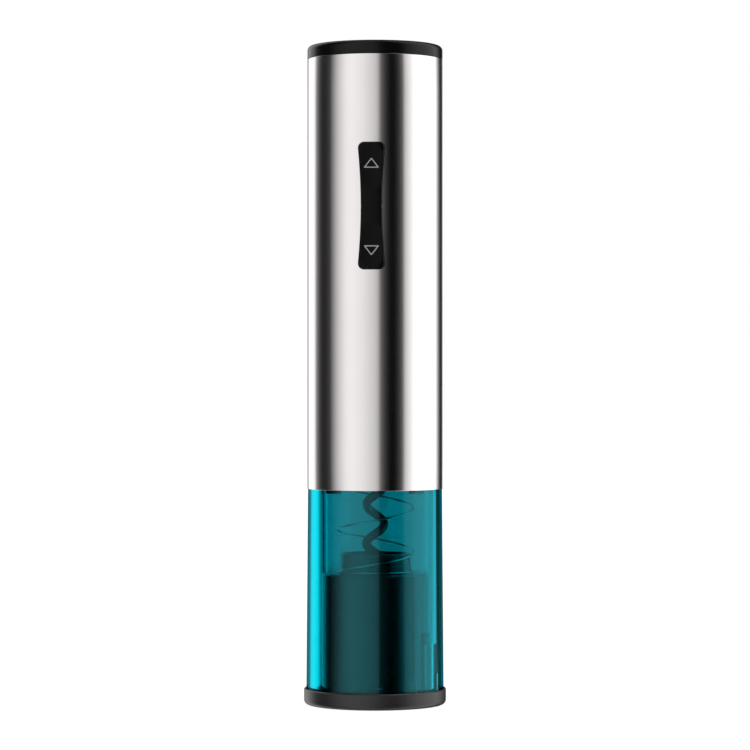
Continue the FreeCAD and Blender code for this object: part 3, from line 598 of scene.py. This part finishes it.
def triangle_icon(name, apex, base):
    """The outline of a triangle printed on the button, by its heights above the button's centre."""
    apex_z, base_z = ROCKER_Z + apex, ROCKER_Z + base
    up = 1.0 if apex_z > base_z else -1.0
    height = abs(apex_z - base_z)
    lean = math.atan2(ICON_WIDTH / 2, height)
    inner_apex = height - ICON_STROKE / math.sin(lean)
    inner_half = (inner_apex - ICON_STROKE) * math.tan(lean)
    outside = rounded_triangle([(-ICON_WIDTH / 2, 0.0), (ICON_WIDTH / 2, 0.0), (0.0, height)])
    inside = rounded_triangle([(-inner_half, ICON_STROKE), (inner_half, ICON_STROKE), (0.0, inner_apex)])
    points = []
    faces = []
    count = len(outside)
    for lift in (ICON_LIFT, -ICON_DEPTH):
        for loop in (outside, inside):
            for p in loop:
                z = base_z + up * p.y
                points.append((p.x, rocker_surface(p.x, z - ROCKER_Z) - lift, z))
    for k in range(count):
        n = (k + 1) % count
        faces.append((k, n, count + n, count + k))
        faces.append((2 * count + k, 3 * count + k, 3 * count + n, 2 * count + n))
        faces.append((k, 2 * count + k, 2 * count + n, n))
        faces.append((count + k, count + n, 3 * count + n, 3 * count + k))
    icon = mesh_object(name, points, faces, 40.0)
    icon.data.materials.append(ICON_PRINT)
    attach(icon, "rocker")


# ---------------------------------------------------------------- sleeve and cap
SLEEVE_LOW, SLEEVE_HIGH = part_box("steel_sleeve")
SLEEVE_R = SLEEVE_HIGH.x
SLEEVE_WALL = 0.5 * MM
SLEEVE_ROLLED = 0.12 * MM
WINDOW_GAP = 0.2 * MM


def make_sleeve():
    """The steel tube, with the window for the button cut through its wall."""
    bore = SLEEVE_R - SLEEVE_WALL
    corner_r = SLEEVE_R - SLEEVE_ROLLED
    length = SLEEVE_HIGH.z - SLEEVE_LOW.z
    outline = arc(corner_r, SLEEVE_LOW.z + SLEEVE_ROLLED, SLEEVE_ROLLED, -90, 0, 4)
    outline += [(SLEEVE_R, SLEEVE_LOW.z + length * k / 12) for k in range(1, 12)]
    outline += arc(corner_r, SLEEVE_HIGH.z - SLEEVE_ROLLED, SLEEVE_ROLLED, 0, 90, 4)
    outline += [(bore, SLEEVE_HIGH.z), (bore, SLEEVE_LOW.z)]
    sleeve = lathe("sleeve_tube", outline, 360)
    half = ROCKER_HALF + WINDOW_GAP
    rows = 64
    heights = [-half * math.cos(math.pi * r / rows) for r in range(rows + 1)]
    rim = []
    for side, order in ((1, heights), (-1, heights[::-1])):
        for z in order:
            rim.append((side * rocker_half_width(z, WINDOW_GAP), z + ROCKER_Z))
    count = len(rim)
    points = [(x, y, z) for y in (-SLEEVE_R - 3 * MM, -SLEEVE_R + 4 * MM) for x, z in rim]
    faces = [(k, (k + 1) % count, count + (k + 1) % count, count + k) for k in range(count)]
    faces += [tuple(range(count)), tuple(range(2 * count - 1, count - 1, -1))]
    combine(sleeve, mesh_object("window", points, faces), "DIFFERENCE")
    stand_for(sleeve, "steel_sleeve")


def make_cap():
    """The battery cap: a rounded lid with its skirt inside the sleeve and a coin slot on top."""
    low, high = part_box("battery_cap")
    radius = high.x
    bottom = SLEEVE_HIGH.z + 0.1 * MM
    shoulder, break_edge = 1.8 * MM, 0.15 * MM
    skirt, skirt_wall, roof = radius - 2.55 * MM, 1.5 * MM, bottom - 2.3 * MM
    slot_length, slot_width, slot_depth = 20.0 * MM, 2.4 * MM, 1.4 * MM
    outline = [(0.0, high.z)]
    outline += arc(radius - shoulder, high.z - shoulder, shoulder, 90, 0, 12)
    outline += arc(radius - break_edge, bottom + break_edge, break_edge, 0, -90, 3)
    outline += [(skirt, bottom), (skirt, low.z), (skirt - skirt_wall, low.z), (skirt - skirt_wall, roof)]
    outline += [(0.0, roof)]
    cap = lathe("cap_moulding", outline, 240)
    slot = box_mesh(
        "slot",
        (-slot_length / 2, -slot_width / 2, high.z - slot_depth),
        (slot_length / 2, slot_width / 2, high.z + MM),
    )
    combine(cap, slot, "DIFFERENCE")
    stand_for(cap, "battery_cap")


# ---------------------------------------------------------------- spring and worm
SPRING_PITCH = 16.0 * MM
SPRING_CREST = 55.5 * MM
SPRING_WIRE = 0.34 * MM
SPRING_RADIUS = 13.9 * MM
SPRING_LEAD = 0.35  # turns over which the coil eases out of its closed ends
CLOSED_TURNS = 1.0


def make_spring():
    """The return spring, with a closed turn at each end."""
    low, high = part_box("return_spring")
    bottom = low.z + SPRING_WIRE + 0.05 * MM
    top = high.z - SPRING_WIRE - 0.05 * MM
    start = 2 * math.pi * (bottom - SPRING_CREST) / SPRING_PITCH
    turns = (top - bottom) / SPRING_PITCH
    steps = 64
    path = []
    for k in range(int((turns + 2 * CLOSED_TURNS) * steps) + 1):
        t = k / steps - CLOSED_TURNS
        free = min(max(t, 0.0), turns)
        ease_low = min(free / SPRING_LEAD, 1.0)
        ease_high = min((turns - free) / SPRING_LEAD, 1.0)
        z = bottom + SPRING_PITCH * free
        z += (1 - ease_low) ** 2 * SPRING_LEAD * SPRING_PITCH * 0.16 * ease_low
        z -= (1 - ease_high) ** 2 * SPRING_LEAD * SPRING_PITCH * 0.16 * ease_high
        z += (t - free) * 0.7 * SPRING_WIRE
        angle = start + 2 * math.pi * t
        here = (SPRING_RADIUS * math.cos(angle), SPRING_RADIUS * math.sin(angle), min(max(z, bottom), top))
        path.append(Vector(here))
    spring = sweep("spring_wire", path, [SPRING_WIRE] * len(path), 12)
    turn(spring, LOWER_CLOCK)
    stand_for(spring, "return_spring")
    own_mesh(spring)


WORM_PITCH = 14.1 * MM
WORM_WIRE = 1.6 * MM
WORM_CREST = 65.6 * MM
WORM_RADIUS = 3.25 * MM
WORM_POINT = 0.12 * MM
SHANK_RADIUS = 3.0 * MM


def make_worm():
    """The worm: a pointed helix that runs in to the shank held by the hub."""
    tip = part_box("worm")[0].z + 0.1 * MM
    hub_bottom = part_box("worm_hub")[0].z
    neck_end = hub_bottom - 0.5 * MM
    neck = 0.55 * WORM_PITCH
    steps = 72
    path = []
    radii = []
    count = int((neck_end - tip) / WORM_PITCH * steps)
    for k in range(count + 1):
        z = tip + (neck_end - tip) * k / count
        run_in = min(1.0, max(0.0, (z - (neck_end - neck)) / neck))
        reach = WORM_RADIUS * (1 + math.cos(math.pi * run_in)) / 2
        angle = 2 * math.pi * (z - WORM_CREST) / WORM_PITCH
        path.append(Vector((reach * math.cos(angle), reach * math.sin(angle), z)))
        grown = min(1.0, (z - tip) / (0.4 * WORM_PITCH))
        radii.append(WORM_POINT + (WORM_WIRE - WORM_POINT) * math.sin(math.pi / 2 * grown))
    worm = sweep("worm_wire", path, radii, 24)
    shank_low, shank_top = neck_end - 0.4 * MM, hub_bottom + 5.5 * MM
    outline = [(0, shank_low), (SHANK_RADIUS, shank_low), (SHANK_RADIUS, shank_top), (0, shank_top)]
    combine(worm, lathe("shank", outline, 48), "UNION")
    turn(worm, LOWER_CLOCK)
    stand_for(worm, "worm")


# ---------------------------------------------------------------- stage, light and camera
def make_floor():
    """A plain pale floor, which the shiny and clear pieces don't mirror."""
    floor = box_mesh("floor", (-3.0, -1.6, -0.02), (3.0, 3.0, 0.0))
    material, nodes, links, shader = new_material("pale_floor")
    shader.inputs["Base Color"].default_value = (0.25, 0.25, 0.25, 1.0)
    shader.inputs["Roughness"].default_value = 0.9
    shader.inputs["Emission Color"].default_value = (1.0, 1.0, 1.0, 1.0)
    shader.inputs["Emission Strength"].default_value = 0.9
    floor.data.materials.append(material)
    floor.visible_glossy = False
    floor.visible_transmission = False


VIEW_AZIMUTH = 3.0  # the camera stands this many degrees round from the button
# Softboxes and dark gaps round the object: (degrees from the camera's side, brightness).
STUDIO = (
    (-180, 0.24),
    (-163, 0.24),
    (-152, 1.3),
    (-130, 1.25),
    (-124, 1.05),
    (-121.5, 0.45),
    (-117, 0.2),
    (-108, 0.045),
    (-99, 0.015),
    (-90, 0.025),
    (-81, 0.05),
    (-79.5, 0.14),
    (-74, 0.32),
    (-66, 0.62),
    (-52, 0.97),
    (-41, 1.05),
    (-22, 0.94),
    (-10, 0.8),
    (0, 0.68),
    (6.5, 0.5),
    (8.0, 0.12),
    (17.6, 0.03),
    (25, 0.0),
    (33, 0.0),
    (39.3, 0.015),
    (49.5, 0.1),
    (51.0, 0.6),
    (62.5, 1.0),
    (75, 1.5),
    (114, 1.5),
    (126, 1.4),
    (132, 0.6),
    (138, 0.25),
    (145, 0.02),
    (158, 0.01),
    (165, 0.24),
    (180, 0.24),
)


def make_light():
    """A ring of softboxes with dark gaps between them, as the world."""
    world = bpy.data.worlds.new("studio")
    bpy.context.scene.world = world
    world.use_nodes = True
    tree = world.node_tree
    nodes, links = tree.nodes, tree.links
    nodes.clear()
    place = nodes.new("ShaderNodeTexCoord")
    split = nodes.new("ShaderNodeSeparateXYZ")
    links.new(place.outputs["Generated"], split.inputs["Vector"])
    flip = nodes.new("ShaderNodeMath")
    flip.operation = "MULTIPLY"
    flip.inputs[1].default_value = -1.0
    links.new(split.outputs["Y"], flip.inputs[0])
    azimuth = nodes.new("ShaderNodeMath")
    azimuth.operation = "ARCTAN2"
    links.new(split.outputs["X"], azimuth.inputs[0])
    links.new(flip.outputs["Value"], azimuth.inputs[1])
    shift = nodes.new("ShaderNodeMath")
    shift.operation = "SUBTRACT"
    shift.inputs[1].default_value = math.radians(VIEW_AZIMUTH)
    links.new(azimuth.outputs["Value"], shift.inputs[0])
    wrap = nodes.new("ShaderNodeMath")
    wrap.operation = "WRAP"
    wrap.inputs[1].default_value = math.pi
    wrap.inputs[2].default_value = -math.pi
    links.new(shift.outputs["Value"], wrap.inputs[0])
    share = nodes.new("ShaderNodeMapRange")
    share.inputs["From Min"].default_value = -math.pi
    share.inputs["From Max"].default_value = math.pi
    links.new(wrap.outputs["Value"], share.inputs["Value"])
    curve = nodes.new("ShaderNodeFloatCurve")
    links.new(share.outputs["Result"], curve.inputs["Value"])
    top = max(level for angle, level in STUDIO)
    line = curve.mapping.curves[0]
    for k, (angle, level) in enumerate(STUDIO):
        x, y = (angle + 180) / 360, level / top
        if k == 0:
            line.points[0].location = (x, y)
        elif k == len(STUDIO) - 1:
            line.points[-1].location = (x, y)
        else:
            line.points.new(x, y)
    for point in line.points:
        point.handle_type = "VECTOR"
    curve.mapping.update()
    boxes = nodes.new("ShaderNodeBackground")
    boxes.inputs["Strength"].default_value = top
    links.new(curve.outputs["Value"], boxes.inputs["Color"])
    backdrop = nodes.new("ShaderNodeBackground")
    backdrop.inputs["Color"].default_value = (1.0, 1.0, 1.0, 1.0)
    seen = nodes.new("ShaderNodeLightPath")
    mix = nodes.new("ShaderNodeMixShader")
    links.new(seen.outputs["Is Camera Ray"], mix.inputs["Fac"])
    links.new(boxes.outputs["Background"], mix.inputs[1])
    links.new(backdrop.outputs["Background"], mix.inputs[2])
    out = nodes.new("ShaderNodeOutputWorld")
    links.new(mix.outputs["Shader"], out.inputs["Surface"])


def make_camera():
    """The camera stands level with the object's middle, a little round from the button."""
    distance, height = 1.156, 0.120
    angle = math.radians(VIEW_AZIMUTH)
    camera = bpy.data.objects.new("camera", bpy.data.cameras.new("camera"))
    camera.data.lens = 152.0
    camera.data.sensor_width = 36.0
    camera.location = (distance * math.sin(angle), -distance * math.cos(angle), height)
    camera.rotation_euler = (math.pi / 2, 0.0, angle)
    bpy.context.scene.collection.objects.link(camera)
    bpy.context.scene.camera = camera
    bpy.context.scene.view_settings.view_transform = "Standard"


finish_cad_nodes()
make_rocker()
triangle_icon("icon_up", 17.25 * MM, 13.5 * MM)
triangle_icon("icon_down", -17.9 * MM, -14.2 * MM)
make_sleeve()
make_cap()
make_spring()
make_worm()
make_floor()
make_light()
make_camera()
